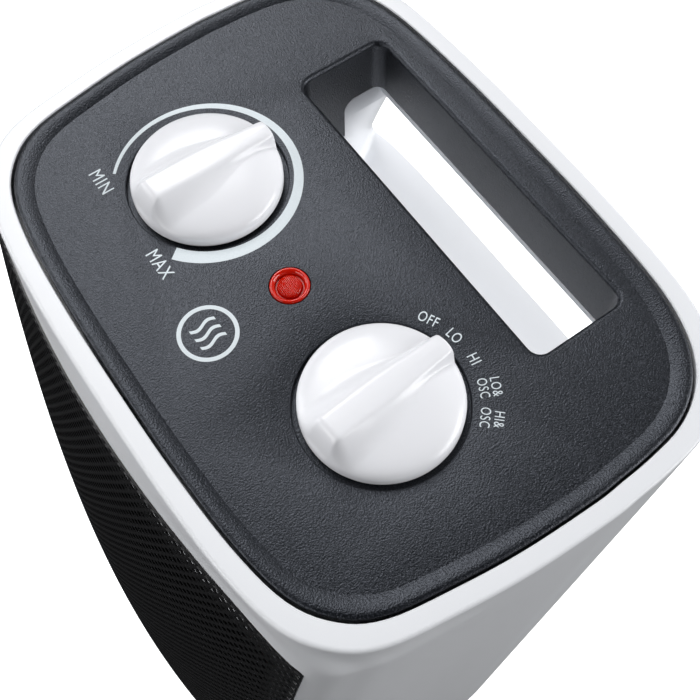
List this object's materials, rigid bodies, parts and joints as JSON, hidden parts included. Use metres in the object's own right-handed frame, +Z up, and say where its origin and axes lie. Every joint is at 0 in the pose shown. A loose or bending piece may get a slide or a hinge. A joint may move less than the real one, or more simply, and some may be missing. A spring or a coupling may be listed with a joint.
{
  "type": "ceramic tower heater",
  "caption": "Oscillating ceramic tower heater with a bowed front grille, a scooped hand hold, thermostat and function knobs, and a round swivel base.",
  "frame": {"origin": "on the floor under the feet, on the swivel axis in the middle of the round base", "axes": "+Z up, -Y out of the front grille, +X to the right of a person facing the grille"},
  "size_m": [0.184, 0.184, 0.4696],
  "materials": {
    "housing_white": "moulded white ABS, satin gloss",
    "knob_white": "moulded white ABS, high gloss",
    "panel_black": "moulded black ABS with a fine spark-eroded grain",
    "grille_black": "perforated sheet steel, powder coated, satin",
    "lens_red": "clear red acrylic",
    "lamp_glass": "clear glass",
    "rubber_black": "matte",
    "zinc_steel": "zinc plated",
    "dark_steel": "rolled sheet, dull",
    "bearing_bronze": "sintered",
    "coil_copper": "enamelled copper wire",
    "fin_aluminium": "bare sheet",
    "ptc_ceramic": "unglazed",
    "resin_brown": "moulded phenolic resin",
    "nylon_white": "moulded nylon"
  },
  "bodies": {
    "base": {"base_housing": "housing_white", "base_cover": "panel_black", "rubber_foot_1": "rubber_black", "rubber_foot_2": "rubber_black", "rubber_foot_3": "rubber_black", "rubber_foot_4": "rubber_black", "base_screw_1": "zinc_steel", "base_screw_2": "zinc_steel", "base_screw_3": "zinc_steel", "ballast_ring": "dark_steel", "cord_gland": "rubber_black", "terminal_block": "nylon_white", "tip_switch_body": "resin_brown", "pivot_tube": "zinc_steel", "glide_ring": "nylon_white", "retaining_washer": "zinc_steel", "drive_fork": "nylon_white"},
    "plunger": {"tip_plunger": "nylon_white"},
    "tower": {"bottom_plate": "panel_black", "swing_motor": "dark_steel", "front_housing": "housing_white", "rear_housing": "housing_white", "front_grille": "grille_black", "control_panel": "panel_black", "casing_screw_1": "zinc_steel", "casing_screw_2": "zinc_steel", "casing_screw_3": "zinc_steel", "casing_screw_4": "zinc_steel", "thermostat_body": "resin_brown", "rotary_switch_body": "nylon_white", "pilot_lens": "lens_red", "neon_lamp": "lamp_glass", "rail_left": "zinc_steel", "rail_right": "zinc_steel", "duct_floor": "dark_steel", "duct_ceiling": "dark_steel", "upper_bearing": "bearing_bronze", "duct_scroll": "dark_steel", "duct_tongue": "dark_steel", "motor_bracket_upper": "zinc_steel", "motor_bracket_lower": "zinc_steel", "motor_stator": "dark_steel", "motor_coil": "coil_copper", "motor_bolt_1": "zinc_steel", "motor_bolt_2": "zinc_steel", "element_frame": "resin_brown", "fin_stack_1": "fin_aluminium", "fin_stack_2": "fin_aluminium", "fin_stack_3": "fin_aluminium", "ptc_bar_1": "ptc_ceramic", "ptc_bar_2": "ptc_ceramic", "thermal_cutout": "zinc_steel"},
    "thermostat_dial": {"thermostat_knob": "knob_white", "thermostat_shaft": "zinc_steel"},
    "function_dial": {"function_knob": "knob_white", "switch_shaft": "zinc_steel"},
    "fan": {"fan_drum": "panel_black", "fan_shaft": "zinc_steel", "motor_rotor": "zinc_steel"},
    "crank": {"swing_crank": "zinc_steel"}
  },
  "joints": [
    {"name": "tower_swing", "type": "hinge", "parent": "base", "child": "tower", "pos_m": [0, 0, 0.036], "axis": [0, 0, 1], "range_deg": [-35, 35]},
    {"name": "crank_turn", "type": "hinge", "parent": "tower", "child": "crank", "pos_m": [0, -0.038, 0.0345], "axis": [0, 0, 1], "range_deg": [-105.1, 105.1]},
    {"name": "thermostat_turn", "type": "hinge", "parent": "tower", "child": "thermostat_dial", "pos_m": [-0.03875, -0.001, 0.4579], "axis": [0, 0, 1], "range_deg": [-145, 138]},
    {"name": "function_turn", "type": "hinge", "parent": "tower", "child": "function_dial", "pos_m": [0.03875, -0.001, 0.4579], "axis": [0, 0, 1], "range_deg": [-49, 21.7]},
    {"name": "fan_spin", "type": "hinge", "parent": "tower", "child": "fan", "pos_m": [0, 0.024, 0.225], "axis": [0, 0, 1], "continuous": true},
    {"name": "tip_plunger_slide", "type": "slide", "parent": "base", "child": "plunger", "axis": [0, 0, -1], "range_m": [0, 0.0035], "stiffness_N_per_m": 60, "springref_m": 0.006}
  ],
  "couplings": [
    {"joint": "crank_turn", "follows": "tower_swing", "ratio": -3}
  ]
}
